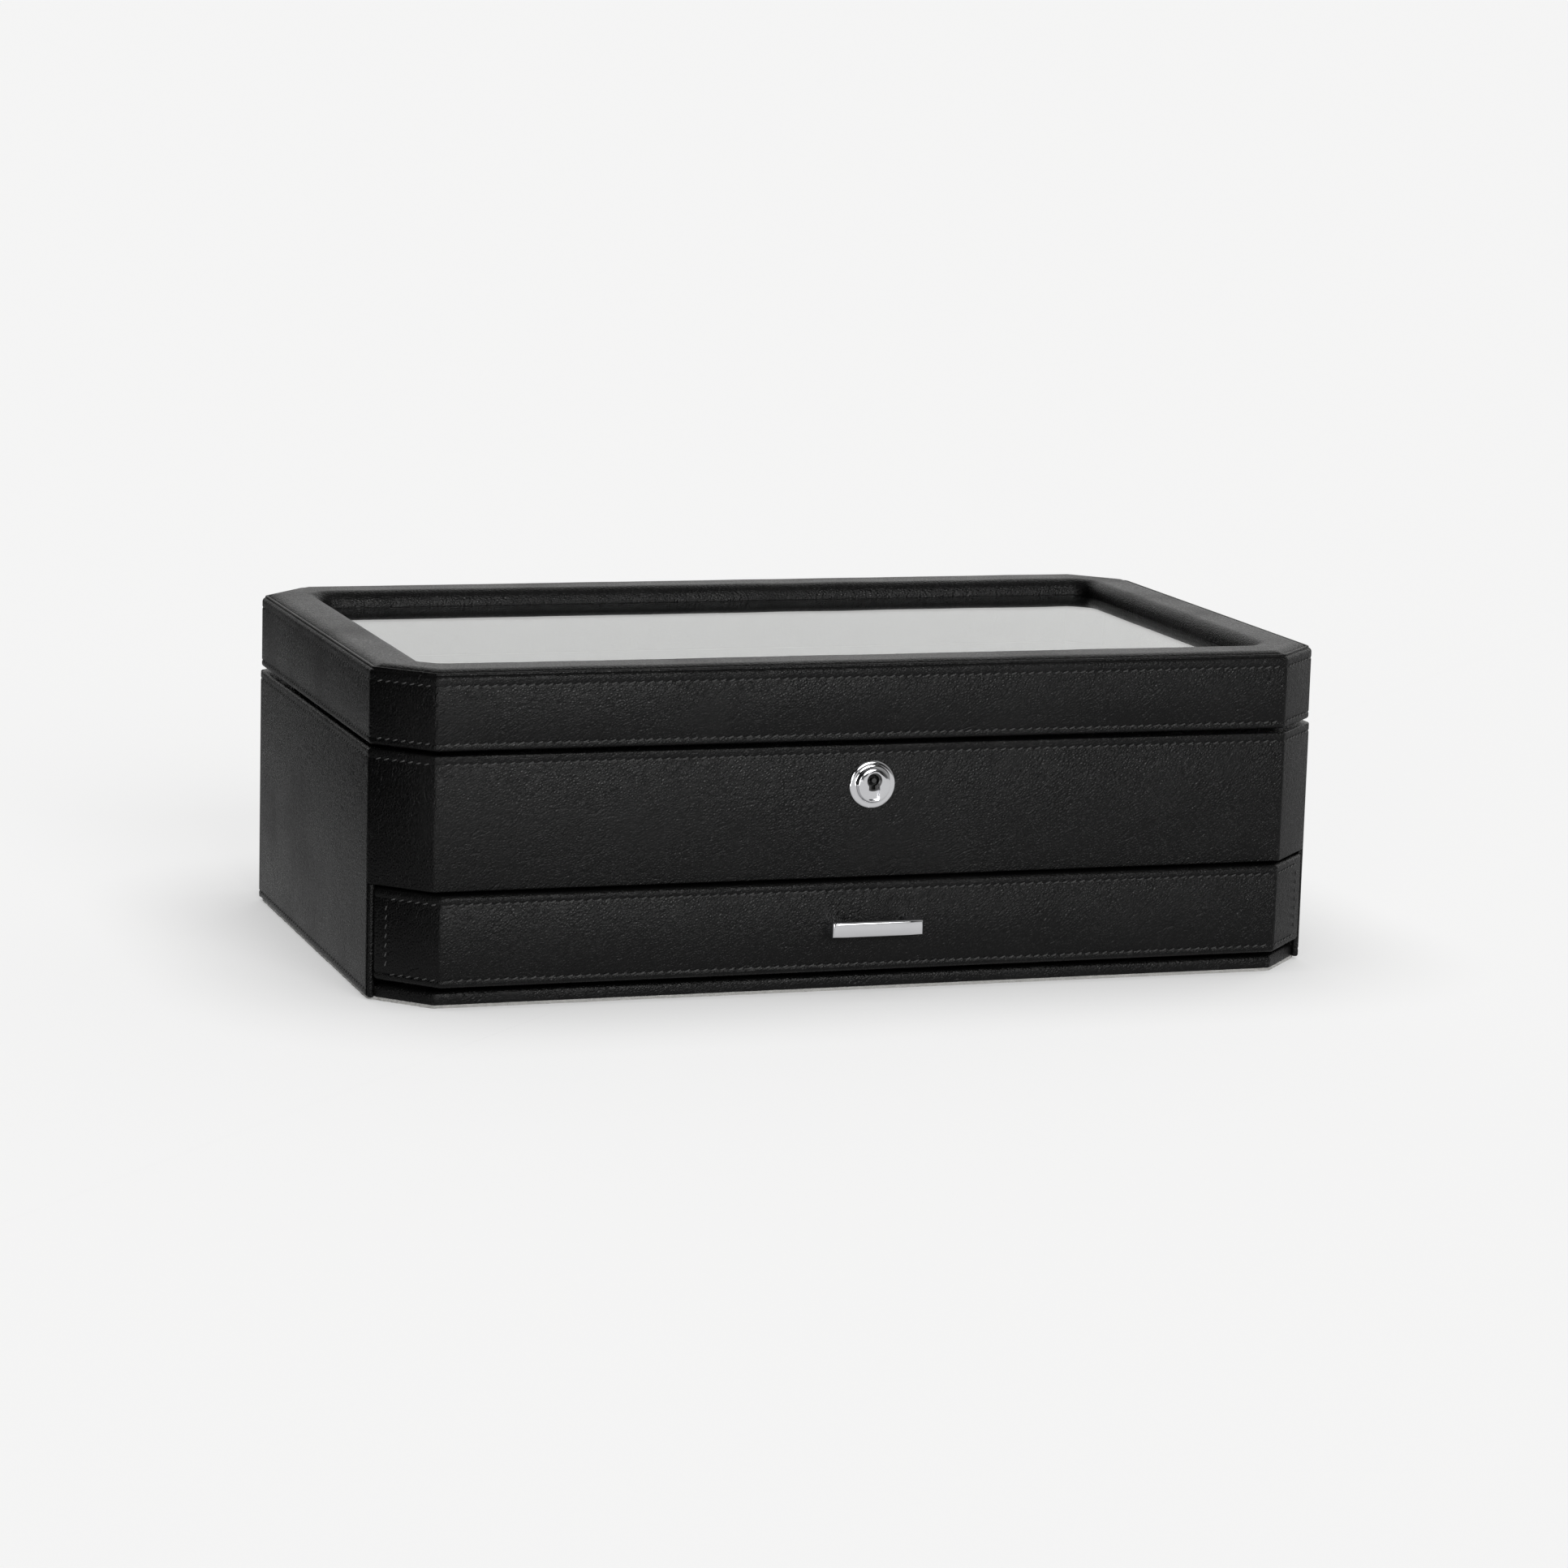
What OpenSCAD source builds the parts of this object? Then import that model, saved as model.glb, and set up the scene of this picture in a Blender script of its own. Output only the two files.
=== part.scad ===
// Watch box: octagonal case covered in stitched leather, glass lid, drawer below the tray.
// Millimetres. Origin: centre of the flat underside. +X right, -Y front, +Z up.

/* [Case] */
// Overall width, side panel to side panel
case_width = 335; // [300:5:420]
// Overall depth, front leather to back leather
case_depth = 204; // [185:3:260]
// Width of a corner chamfer, measured along the front
chamfer_x = 18; // [12:1:24]
// Depth of a corner chamfer, measured along the side
chamfer_y = 19; // [12:1:24]
// Height of the case rim above the table
rim_height = 84; // [80:1:110]
// Thickness of the wall boards
board = 10; // [8:0.5:12]
// Thickness of the leather covering
skin = 1.2; // [1:0.1:1.6]
// Thickness of the lining cloth
cloth = 0.8; // [0.6:0.1:1]
// Thickness of the felt under the base
felt = 1; // [0.8:0.1:1.5]
// Height of the top of the base plinth
plinth_height = 5.5; // [5:0.5:7]
// How far the plinth stands back from the front
plinth_setback = 2; // [1:0.5:4]

/* [Lid] */
// Gap between case rim and lid
lid_gap = 1.3; // [1.2:0.1:2]
// Height of the lid up to its binding
lid_height = 25.7; // [24:0.5:34]
// How far the padded ring crowns above the binding
pad_crown = 1; // [0.5:0.5:2]
// Width of the padded rail at the left and right
rail_side = 20.5; // [19:0.5:28]
// Width of the padded rail at front and back
rail_front = 21.5; // [20:0.5:28]
// Corner radius of the window
window_radius = 5.5; // [4:0.5:8]
// Thickness of the glass
glass_thickness = 3; // [2:0.5:4]
// Depth of the glass below the binding
glass_drop = 4.7; // [4.5:0.1:6]

/* [Drawer] */
// Height of the lower edge of the drawer front
drawer_low = 7.5; // [7:0.5:9]
// Height of the drawer front
drawer_height = 30.7; // [28:0.5:34]
// Gap above the drawer front
drawer_gap = 0.8; // [0.6:0.1:1.5]
// How far the drawer front stands proud of the case
drawer_proud = 2.4; // [1:0.2:4]
// Side play of the drawer box between the side boards
drawer_play = 0.7; // [0.5:0.1:1.2]
// Thickness of the drawer side and back boards
drawer_board = 8; // [6:0.5:10]

/* [Tray] */
// Thickness of the dividers
divider = 3; // [2:0.5:4]
// Height of the divider tops above the table
divider_top = 76; // [70:1:78]
// Width of a watch cushion
cushion_width = 50; // [40:1:51]
// Depth of a watch cushion, front to back
cushion_depth = 72; // [62:1:72]
// Height of a watch cushion
cushion_height = 36; // [30:1:36]

/* [Lock and pull] */
// Diameter of the lock rosette
rosette_diameter = 16.2; // [15:0.2:18]
// Height of the lock above the table
lock_height = 70.5; // [68:0.5:72]
// Diameter of the raised boss that holds the keyhole
boss_diameter = 11.3; // [10.6:0.1:11.8]
// How far the boss stands out from the leather
boss_proud = 2.8; // [2:0.1:3.5]
// How far the key turns above the middle of the rosette
key_rise = 1.6; // [1:0.1:1.8]
// Running clearance of the lock plug and hinge pins, on the radius
running_gap = 0.05; // [0.03:0.01:0.08]
// Length of the bar pull
pull_length = 32; // [28:1:60]
// Height of the bar pull
pull_height = 5.2; // [4.5:0.1:8]
// How far the pull stands out from the drawer front
pull_reach = 9; // [8:0.5:12]

/* [Hinges] */
// Length of a hinge
hinge_length = 40; // [30:1:50]
// Distance of a hinge from the middle of the box
hinge_offset = 95; // [80:1:105]

/* [Hidden] */
$fn = 64;
columns = 5;
half_w = case_width / 2;
half_d = case_depth / 2;
cham_len = sqrt(chamfer_x * chamfer_x + chamfer_y * chamfer_y);
nx = chamfer_y / cham_len;
ny = chamfer_x / cham_len;
cham_reach = nx * (half_w - chamfer_x) + ny * half_d;

wall = skin + board;
jamb = 1.6;
base_top = plinth_height - skin;
rim_board = rim_height - skin;
front_low = drawer_low + drawer_height + drawer_gap;
drawer_top = drawer_low + drawer_height;
tray_under = front_low + 1;
tray_board = 3;
tray_floor = tray_under + tray_board;
tray_bed = tray_floor + cloth;

lid_low = rim_height + lid_gap;
lid_top = lid_low + lid_height;
glass_top = lid_top - glass_drop;
glass_low = glass_top - glass_thickness;
frame_top = glass_top + 2.3;
band_in = 0.3;
lid_skin = band_in + skin;
win_x = half_w - rail_side;
win_y = half_d - rail_front;

drawer_inner_y = half_d + drawer_proud - skin - board;
fold_x = cham_x(drawer_inner_y, board + skin - 0.5);
drawer_end_x = half_w - jamb - 0.6;
drawer_end_y = half_d - chamfer_y + 0.3;
box_x = half_w - wall - drawer_play;
box_in = box_x - drawer_board;
box_low = plinth_height + 0.6;
box_top = drawer_top - 3;
box_back = half_d - chamfer_y - 6;
box_floor = drawer_low + 3.6;
box_bed = box_floor + cloth;

inner_x = half_w - wall - cloth;
inner_y = half_d - wall - cloth;
cell = (2 * inner_x - (columns - 1) * divider) / columns;
pitch = cell + divider;
row_y = cushion_depth / 2 + 9.5;
divider_mid = (tray_bed + divider_top) / 2;

barrel_r = 6;
plug_r = 3.7;
key_z = lock_height + key_rise;
keyhole_r = 2.65;
keyslot = 3.9;
face_plate = 1.2;
plug_front = -half_d - boss_proud + face_plate + 0.1;
cam_y = -(half_d - wall) + 3.8;
nut_y = -(half_d - wall);

axis_y = half_d + 2.2;
axis_z = rim_height + lid_gap / 2;
knuckle_r = 2;
hinge_pin_r = 1;
leaf_t = 0.6;
leaf_deep = 9;

function cham_x(b, c) = (cham_reach - c - ny * b) / nx;
function cham_y(a, c) = (cham_reach - c - nx * a) / ny;
// Octagon with the sides, front, back, front chamfers and rear chamfers moved in
function plan(s, f, k, cf, cb) =
    let (xf = cham_x(half_d - f, cf), yf = cham_y(half_w - s, cf))
    let (xk = cham_x(half_d - k, cb), yk = cham_y(half_w - s, cb))
    [[-xf, f - half_d], [xf, f - half_d], [half_w - s, -yf], [half_w - s, yk],
     [xk, half_d - k], [-xk, half_d - k], [s - half_w, yk], [s - half_w, -yf]];
function ring(o) = plan(o, o, o, o, o);

module slab(points, low, high) {
    translate([0, 0, low]) linear_extrude(height = high - low) polygon(points);
}

// Ring between two octagons
module hoop(outer, inner, low, high) {
    difference() {
        slab(ring(outer), low, high);
        slab(ring(inner), low - 1, high + 1);
    }
}

// Rectangle with true round corners, centred
module soft_square(x, y, r) {
    square([2 * x, 2 * y - 2 * r], center = true);
    square([2 * x - 2 * r, 2 * y], center = true);
    for (i = [-1, 1], j = [-1, 1]) translate([i * (x - r), j * (y - r)]) circle(r = r);
}

module soft_slab(x, y, r, low, high) {
    translate([0, 0, low]) linear_extrude(height = high - low) soft_square(x, y, r);
}

// One wall board: the stretch of the wall ring that lies along one side
module front_stretch(outer, inner, low, high) {
    a = ring(outer);
    b = ring(inner);
    slab([a[0], a[1], b[1], b[0]], low, high);
}

module right_stretch(outer, inner, low, high) {
    a = ring(outer);
    b = ring(inner);
    slab([a[2], a[3], b[3], b[2]], low, high);
}

module corner_stretch(outer, inner, low, high) {
    a = ring(outer);
    b = ring(inner);
    slab([a[1], a[2], b[2], b[1]], low, high);
}

module across() {
    children();
    mirror([1, 0, 0]) children();
}

// Line along the front and its chamfers, at a depth o, up to the side panels
edge_x = half_w - jamb;
function front_line(o) =
    let (v = cham_x(half_d - o, o), d = cham_y(edge_x, o))
    [[-edge_x, -d], [-v, o - half_d], [v, o - half_d], [edge_x, -d]];
function backwards(points) = [for (i = [len(points) - 1:-1:0]) points[i]];

// Where the mitre between chamfer and side reaches the side panel's edge
mitre_in = ring(wall)[2];
mitre_slope = (ring(0)[2][1] - mitre_in[1]) / (ring(0)[2][0] - mitre_in[0]);
mitre_y = mitre_in[1] + mitre_slope * (edge_x - mitre_in[0]);

// Leather over the front and its chamfers, turned in over the boards' edges
module front_cover(low, turned_edges) {
    slab(concat(front_line(0), backwards(front_line(skin))), low, rim_height);
    for (z = turned_edges)
        slab(concat(front_line(0), [[edge_x, mitre_y], mitre_in, ring(wall)[1]],
                    [ring(wall)[0], ring(wall)[7], [-edge_x, mitre_y]]), z, z + skin);
}

// Leather over one side, with the rolled edge that reaches round on the chamfers
module side_cover() {
    a = edge_x;
    o = ring(0);
    slab([[a, -cham_y(a, 0)], o[2], o[3], [a, cham_y(a, 0)],
          [a, cham_y(a, skin)], ring(skin)[3], ring(skin)[2], [a, -cham_y(a, skin)]],
         felt, rim_height);
    slab([[a, -cham_y(a, 0)], o[2], o[3], [a, cham_y(a, 0)], [a, -mitre_y],
          [mitre_in[0], -mitre_in[1]], mitre_in, [a, mitre_y]], rim_board, rim_height);
}

module underside_felt() color("dimgray") slab(ring(4), 0, felt);

module base_board() color("burlywood")
    slab(plan(skin, plinth_setback + skin, skin, plinth_setback + skin, skin), felt, base_top);

module base_leather() color("black") difference() {
    slab(plan(3, plinth_setback, 3, plinth_setback, 3), felt, plinth_height);
    slab(plan(0, plinth_setback + skin, 0, plinth_setback + skin, 0), 0, base_top);
    translate([-half_w, chamfer_y - 0.6 - half_d, 0]) cube([case_width, case_depth, 20]);
}

module case_front_board() color("burlywood") difference() {
    front_stretch(skin, wall, front_low + skin, rim_board);
    translate([0, -half_d - 1, lock_height]) rotate([-90, 0, 0]) cylinder(r = barrel_r, h = 30);
}

module case_back_board() color("burlywood") difference() {
    mirror([0, 1, 0]) front_stretch(skin, wall, base_top, rim_board);
    hinge_screw_set(rim_board - 8, rim_height);
}

module case_left_board() color("burlywood")
    mirror([1, 0, 0]) right_stretch(skin, wall, base_top, rim_board);

module case_right_board() color("burlywood") right_stretch(skin, wall, base_top, rim_board);

// The front pair stops above the drawer
module case_corner_blocks() color("burlywood") across() {
    corner_stretch(skin, wall, front_low + skin, rim_board);
    mirror([0, 1, 0]) corner_stretch(skin, wall, base_top, rim_board);
}

module case_front_leather() color("black") difference() {
    front_cover(front_low, [front_low, rim_board]);
    translate([0, -half_d - 1, lock_height]) rotate([-90, 0, 0]) cylinder(r = barrel_r, h = 30);
}

module case_left_leather() color("black") mirror([1, 0, 0]) side_cover();

module case_right_leather() color("black") side_cover();

module case_back_leather() color("black") difference() {
    mirror([0, 1, 0]) front_cover(felt, [rim_board]);
    hinge_screw_set(rim_board - 8, rim_height + 1);
}

module tray_floor_board() color("burlywood") slab(ring(wall), tray_under, tray_floor);

module tray_lining() color("dimgray") difference() {
    slab(ring(wall), tray_floor, rim_height);
    slab(ring(wall + cloth), tray_bed, rim_height + 1);
    translate([0, -half_d, lock_height]) rotate([-90, 0, 0]) cylinder(r = 9, h = 30);
}

module tray_long_divider() color("dimgray") difference() {
    translate([-inner_x, -divider / 2, tray_bed])
        cube([2 * inner_x, divider, divider_top - tray_bed]);
    for (i = [0:columns - 2])
        translate([(i - (columns - 2) / 2) * pitch - divider / 2, -divider, divider_mid])
            cube([divider, 2 * divider, 99]);
}

module tray_cross_dividers() color("dimgray") for (i = [0:columns - 2]) difference() {
    translate([(i - (columns - 2) / 2) * pitch - divider / 2, -inner_y, tray_bed])
        cube([divider, 2 * inner_y, divider_top - tray_bed]);
    translate([(i - (columns - 2) / 2) * pitch - divider, -divider / 2, 0])
        cube([2 * divider, divider, divider_mid]);
}

// Watch cushion: an oval loaf lying across its compartment
module cushion(i, j) color("gray")
    translate([(i - 2) * pitch, j * row_y, tray_bed + 0.3 + cushion_height / 2])
        rotate([90, 0, 90])
            linear_extrude(height = cushion_width, center = true)
                soft_square(cushion_depth / 2, cushion_height / 2, cushion_height * 0.42);

module watch_cushion_1() cushion(0, -1);
module watch_cushion_2() cushion(1, -1);
module watch_cushion_3() cushion(2, -1);
module watch_cushion_4() cushion(3, -1);
module watch_cushion_5() cushion(4, -1);
module watch_cushion_6() cushion(0, 1);
module watch_cushion_7() cushion(1, 1);
module watch_cushion_8() cushion(2, 1);
module watch_cushion_9() cushion(3, 1);
module watch_cushion_10() cushion(4, 1);

// Lathe-turned lock pieces lie along Y, with their front at y
module turned(y, r, h, z = lock_height) {
    translate([0, y, z]) rotate([-90, 0, 0]) cylinder(r = r, h = h);
}

module lock_barrel() color("silver") difference() {
    union() {
        turned(-half_d - 0.9, rosette_diameter / 2, 0.9);
        turned(-half_d - boss_proud, boss_diameter / 2, boss_proud);
        turned(-half_d, barrel_r, half_d + cam_y - 0.4);
    }
    turned(-half_d - boss_proud - 1, keyhole_r, face_plate + 1.1, key_z);
    translate([-keyslot / 2, -half_d - boss_proud - 1, lock_height + 0.6 - boss_diameter / 2])
        cube([keyslot, face_plate + 1.1, boss_diameter / 2]);
    turned(plug_front - 0.1, plug_r + running_gap, 40, key_z);
}

module lock_nut() color("silver") difference() {
    translate([0, nut_y, lock_height]) rotate([-90, 30, 0]) cylinder(r = 8.4, h = 2.6, $fn = 6);
    turned(nut_y - 1, barrel_r, 9);
}

// The key goes round the plug's centre post
module lock_plug() color("silver") {
    difference() {
        turned(plug_front, plug_r, cam_y - plug_front, key_z);
        turned(plug_front - 1, 2, 8, key_z);
        translate([-0.7, plug_front - 1, key_z - 3.2]) cube([1.4, 8, 3.2]);
        turned(cam_y - 6, 1.1, 9, key_z);
    }
    turned(plug_front - 0.6, 0.8, 8.6, key_z);
}

module lock_cam() color("silver") difference() {
    union() {
        turned(cam_y, 5, 1.6, key_z);
        translate([-19, cam_y, key_z - 3.6]) cube([19, 1.6, 7.2]);
    }
    turned(cam_y - 1, 1.1, 9, key_z);
}

module lock_cam_screw() color("silver") {
    turned(cam_y - 6, 1.1, 7.6, key_z);
    turned(cam_y + 1.6, 2.4, 1.2, key_z);
}

// Hinges: leaf flat on the rim, knuckles behind the back face
module hinge_screw_set(low, high) {
    for (s = [-1, 1], k = [-1, 0, 1])
        translate([s * hinge_offset + k * hinge_length * 0.34, half_d - 5, low])
            cylinder(r = 1, h = high - low);
}

module hinge_leaf(low, parts) {
    leaf_y = axis_y - half_d + leaf_deep;
    difference() {
        union() {
            for (s = [-1, 1])
                translate([s * hinge_offset - hinge_length / 2, axis_y - leaf_y, low])
                    cube([hinge_length, leaf_y - 2.4, leaf_t]);
            for (s = [-1, 1], k = parts) hinge_knuckle(s, k, low);
        }
        for (s = [-1, 1])
            translate([s * hinge_offset - hinge_length, axis_y, axis_z]) rotate([0, 90, 0])
                cylinder(r = hinge_pin_r + (len(parts) == 2 ? running_gap : 0),
                         h = 2 * hinge_length);
        hinge_screw_set(low - 1, low + leaf_t + 1);
    }
}

module hinge_knuckle(s, k, low) {
    w = hinge_length / 5;
    x = s * hinge_offset - hinge_length / 2 + k * w;
    translate([x + 0.15, axis_y, axis_z]) rotate([0, 90, 0]) cylinder(r = knuckle_r, h = w - 0.3);
    translate([x + 0.15, half_d - 1, low]) cube([w - 0.3, axis_y - half_d + 1 - 1.6, leaf_t]);
}

module hinge_case_leaves() color("silver") hinge_leaf(rim_height, [0, 2, 4]);

module hinge_lid_leaves() color("silver") hinge_leaf(lid_low - leaf_t, [1, 3]);

module hinge_pins() color("silver")
    for (s = [-1, 1]) translate([s * hinge_offset - hinge_length / 2, axis_y, axis_z])
        rotate([0, 90, 0]) cylinder(r = hinge_pin_r, h = hinge_length);

module hinge_case_screws() color("silver") hinge_screw_set(rim_board - 8, rim_height + leaf_t);

module lid_screws() color("silver") {
    hinge_screw_set(lid_low - leaf_t, lid_low + skin + 8);
    strike_screw_set();
}

module lid_front_board() color("burlywood") difference() {
    front_stretch(lid_skin, wall, lid_low + skin, glass_top);
    strike_screw_set();
}

module lid_back_board() color("burlywood") difference() {
    mirror([0, 1, 0]) front_stretch(lid_skin, wall, lid_low + skin, glass_top);
    hinge_screw_set(lid_low, lid_low + skin + 8);
}

module lid_left_board() color("burlywood")
    mirror([1, 0, 0]) right_stretch(lid_skin, wall, lid_low + skin, glass_top);

module lid_right_board() color("burlywood")
    right_stretch(lid_skin, wall, lid_low + skin, glass_top);

module lid_corner_blocks() color("burlywood") difference() {
    across() {
        corner_stretch(lid_skin, wall, lid_low + skin, glass_top);
        mirror([0, 1, 0]) corner_stretch(lid_skin, wall, lid_low + skin, glass_top);
    }
    pane_pocket();
}

module lid_top_frame() color("burlywood") difference() {
    slab(ring(lid_skin), glass_top, frame_top);
    soft_slab(win_x + skin, win_y + skin, window_radius + skin, glass_top - 1, frame_top + 1);
}

module lid_leather_band() color("black") difference() {
    slab(ring(band_in), lid_low, frame_top);
    slab(ring(lid_skin), lid_low + skin, frame_top + 1);
    slab(ring(wall), lid_low - 1, frame_top + 1);
    hinge_screw_set(lid_low - 1, lid_low + skin + 1);
}

module lid_binding() color("black") hoop(0, 2.2, frame_top, lid_top);

module lid_top_pad() color("black") difference() {
    union() {
        soft_slab(win_x + skin, win_y + skin, window_radius + skin, glass_top, frame_top);
        slab(ring(2.4), frame_top, lid_top - 0.4);
        slab(ring(5), lid_top - 0.4, lid_top + pad_crown * 0.6);
        slab(ring(7.5), lid_top, lid_top + pad_crown);
    }
    soft_slab(win_x, win_y, window_radius, glass_top - 1, lid_top - 1.6);
    soft_slab(win_x + 1, win_y + 1, window_radius + 1, glass_top, lid_top + 0.2);
    soft_slab(win_x + 3.2, win_y + 3.2, window_radius + 3, lid_top, lid_top + 9);
}

module glass_pane() color([0.7, 0.8, 0.8, 0.4])
    translate([-win_x - 3.3, -win_y - 3.3, glass_low])
        cube([2 * win_x + 6.6, 2 * win_y + 6.6, glass_thickness]);

module pane_pocket() translate([-win_x - 3.5, -win_y - 3.5, glass_low])
    cube([2 * win_x + 7, 2 * win_y + 7, glass_thickness + 1]);

module glass_retainer() color("dimgray") difference() {
    slab(ring(wall), glass_low - 2, glass_top);
    pane_pocket();
    soft_slab(win_x - 1, win_y - 1, window_radius, glass_low - 3, glass_top);
}

module lid_wall_lining() color("dimgray") difference() {
    hoop(wall, wall + cloth, rim_height + 0.2, glass_low - 2);
    strike_screw_set();
}

module strike_screw_set() {
    for (s = [-1, 1]) translate([s * 9, nut_y + cloth + 1 - 7, lid_low + 8]) rotate([-90, 0, 0])
        cylinder(r = 0.9, h = 7);
}

module lock_strike() color("silver") difference() {
    translate([-13, nut_y + cloth, lid_low + 3]) cube([26, 1, 10]);
    strike_screw_set();
}

// Drawer: the front turns round both chamfers
function drawer_plan(o) = let (b = half_d + drawer_proud - o, a = drawer_end_x - o)
    [[-cham_x(b, o - 0.5), -b], [cham_x(b, o - 0.5), -b], [a, -cham_y(a, o - 0.5)],
     [a, -drawer_end_y], [-a, -drawer_end_y], [-a, -cham_y(a, o - 0.5)]];

module drawer_front_board() color("burlywood") difference() {
    slab([drawer_plan(skin)[0], drawer_plan(skin)[1], [fold_x, -drawer_inner_y],
          [-fold_x, -drawer_inner_y]], drawer_low + skin, drawer_top - skin);
    pull_screw_set();
}

module drawer_corner_blocks() color("burlywood") across()
    slab([drawer_plan(skin)[1], drawer_plan(skin)[2], drawer_plan(skin)[3],
          [box_x, -drawer_end_y], [fold_x, -drawer_inner_y]],
         drawer_low + skin, drawer_top - skin);

module drawer_front_leather() color("black") difference() {
    slab(drawer_plan(0), drawer_low, drawer_top);
    slab([for (p = drawer_plan(skin)) [p[0], p[1] > -drawer_end_y - 1 ? 0 : p[1]]],
         drawer_low + skin, drawer_top - skin);
    slab([[-fold_x, -drawer_inner_y], [fold_x, -drawer_inner_y], [box_x, -drawer_end_y],
          [box_x, 0], [-box_x, 0], [-box_x, -drawer_end_y]], 0, 99);
    pull_screw_set();
}

// Where the fold line of the front meets the drawer's side boards
side_y = drawer_inner_y - (box_in - fold_x) * (drawer_inner_y - drawer_end_y) / (box_x - fold_x);

module drawer_right_side() color("burlywood")
    slab([[box_in, -side_y], [box_x, -drawer_end_y], [box_x, box_back], [box_in, box_back]],
         box_low, box_top);

module drawer_left_side() color("burlywood") mirror([1, 0, 0])
    slab([[box_in, -side_y], [box_x, -drawer_end_y], [box_x, box_back], [box_in, box_back]],
         box_low, box_top);

module drawer_back() color("burlywood")
    translate([-box_in, box_back - drawer_board, box_low])
        cube([2 * box_in, drawer_board, box_top - box_low]);

function bed_plan(o) = [[-fold_x + o * 0.4, -drawer_inner_y + o], [fold_x - o * 0.4, -drawer_inner_y + o],
     [box_in - o, -side_y + o * 0.4], [box_in - o, box_back - drawer_board - o],
     [-box_in + o, box_back - drawer_board - o], [-box_in + o, -side_y + o * 0.4]];

module drawer_bottom() color("burlywood")
    slab(bed_plan(0), drawer_low + 1.2, box_floor);

module drawer_lining() color("dimgray") difference() {
    slab(bed_plan(0), box_floor, box_top);
    slab(bed_plan(cloth), box_bed, box_top + 1);
    pull_screw_set();
}

module drawer_dividers() color("dimgray") for (s = [-1, 1])
    translate([s * box_in / 3 - divider / 2, -drawer_inner_y + cloth, box_bed])
        cube([divider, box_back - drawer_board + drawer_inner_y - 2 * cloth, box_top - box_bed - 3]);

pull_face = -half_d - drawer_proud;
pull_z = drawer_low + drawer_height / 2 + 0.65;

module pull_screw_set() {
    for (s = [-1, 1]) translate([s * (pull_length / 2 - 2.5), pull_face - 4, pull_z])
        rotate([-90, 0, 0]) cylinder(r = 1.2, h = 4 + skin + board);
    for (s = [-1, 1]) translate([s * (pull_length / 2 - 2.5), -drawer_inner_y, pull_z])
        rotate([-90, 0, 0]) cylinder(r = 2.8, h = 1.6);
}

module drawer_pull() color("silver") difference() {
    translate([-pull_length / 2, pull_face - pull_reach, pull_z - pull_height / 2])
        cube([pull_length, pull_reach, pull_height]);
    translate([-pull_length / 2 + 5, pull_face - pull_reach + 2.6, pull_z - pull_height])
        cube([pull_length - 10, pull_reach, 2 * pull_height]);
    for (s = [-1, 1])
        translate([s * pull_length / 2, pull_face - pull_reach, pull_z - pull_height])
            rotate([0, 0, 45]) cube([1.4, 1.4, 4 * pull_height], center = true);
    pull_screw_set();
}

module pull_screws() color("silver") pull_screw_set();

underside_felt();
base_board();
base_leather();
case_front_board();
case_back_board();
case_left_board();
case_right_board();
case_corner_blocks();
case_front_leather();
case_left_leather();
case_right_leather();
case_back_leather();
tray_floor_board();
tray_lining();
tray_long_divider();
tray_cross_dividers();
watch_cushion_1();
watch_cushion_2();
watch_cushion_3();
watch_cushion_4();
watch_cushion_5();
watch_cushion_6();
watch_cushion_7();
watch_cushion_8();
watch_cushion_9();
watch_cushion_10();
lock_barrel();
lock_nut();
lock_plug();
lock_cam();
lock_cam_screw();
hinge_case_leaves();
hinge_case_screws();
hinge_pins();
lid_front_board();
lid_back_board();
lid_left_board();
lid_right_board();
lid_corner_blocks();
lid_top_frame();
lid_leather_band();
lid_binding();
lid_top_pad();
glass_pane();
glass_retainer();
lid_wall_lining();
lock_strike();
hinge_lid_leaves();
lid_screws();
drawer_front_board();
drawer_corner_blocks();
drawer_front_leather();
drawer_left_side();
drawer_right_side();
drawer_back();
drawer_bottom();
drawer_lining();
drawer_dividers();
drawer_pull();
pull_screws();
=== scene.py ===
import math

import bpy
from mathutils import Matrix, Vector, noise


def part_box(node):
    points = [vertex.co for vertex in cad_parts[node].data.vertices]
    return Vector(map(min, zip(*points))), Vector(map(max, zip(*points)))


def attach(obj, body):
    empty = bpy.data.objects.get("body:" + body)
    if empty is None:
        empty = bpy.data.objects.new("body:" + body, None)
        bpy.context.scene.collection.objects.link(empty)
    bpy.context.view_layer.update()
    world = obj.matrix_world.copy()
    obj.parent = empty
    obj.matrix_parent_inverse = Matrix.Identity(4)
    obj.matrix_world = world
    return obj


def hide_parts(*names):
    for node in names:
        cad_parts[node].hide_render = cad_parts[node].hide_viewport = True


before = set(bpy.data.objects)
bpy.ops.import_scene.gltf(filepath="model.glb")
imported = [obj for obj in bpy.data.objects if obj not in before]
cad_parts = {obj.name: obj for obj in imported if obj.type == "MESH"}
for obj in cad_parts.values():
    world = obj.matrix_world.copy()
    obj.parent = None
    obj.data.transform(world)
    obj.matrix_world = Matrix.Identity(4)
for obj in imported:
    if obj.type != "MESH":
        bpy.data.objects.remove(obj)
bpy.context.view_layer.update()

# ------------------------------------------------------------------ sizes, in metres

MM = 0.001

case_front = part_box("case_front_leather")
case_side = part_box("case_right_leather")
case_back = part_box("case_back_leather")
lid_band_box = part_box("lid_leather_band")
lid_edge_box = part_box("lid_binding")
pad_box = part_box("lid_top_pad")
glass_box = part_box("glass_pane")
drawer_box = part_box("drawer_front_leather")
pull_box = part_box("drawer_pull")
barrel_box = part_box("lock_barrel")
plinth_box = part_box("base_leather")

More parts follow.
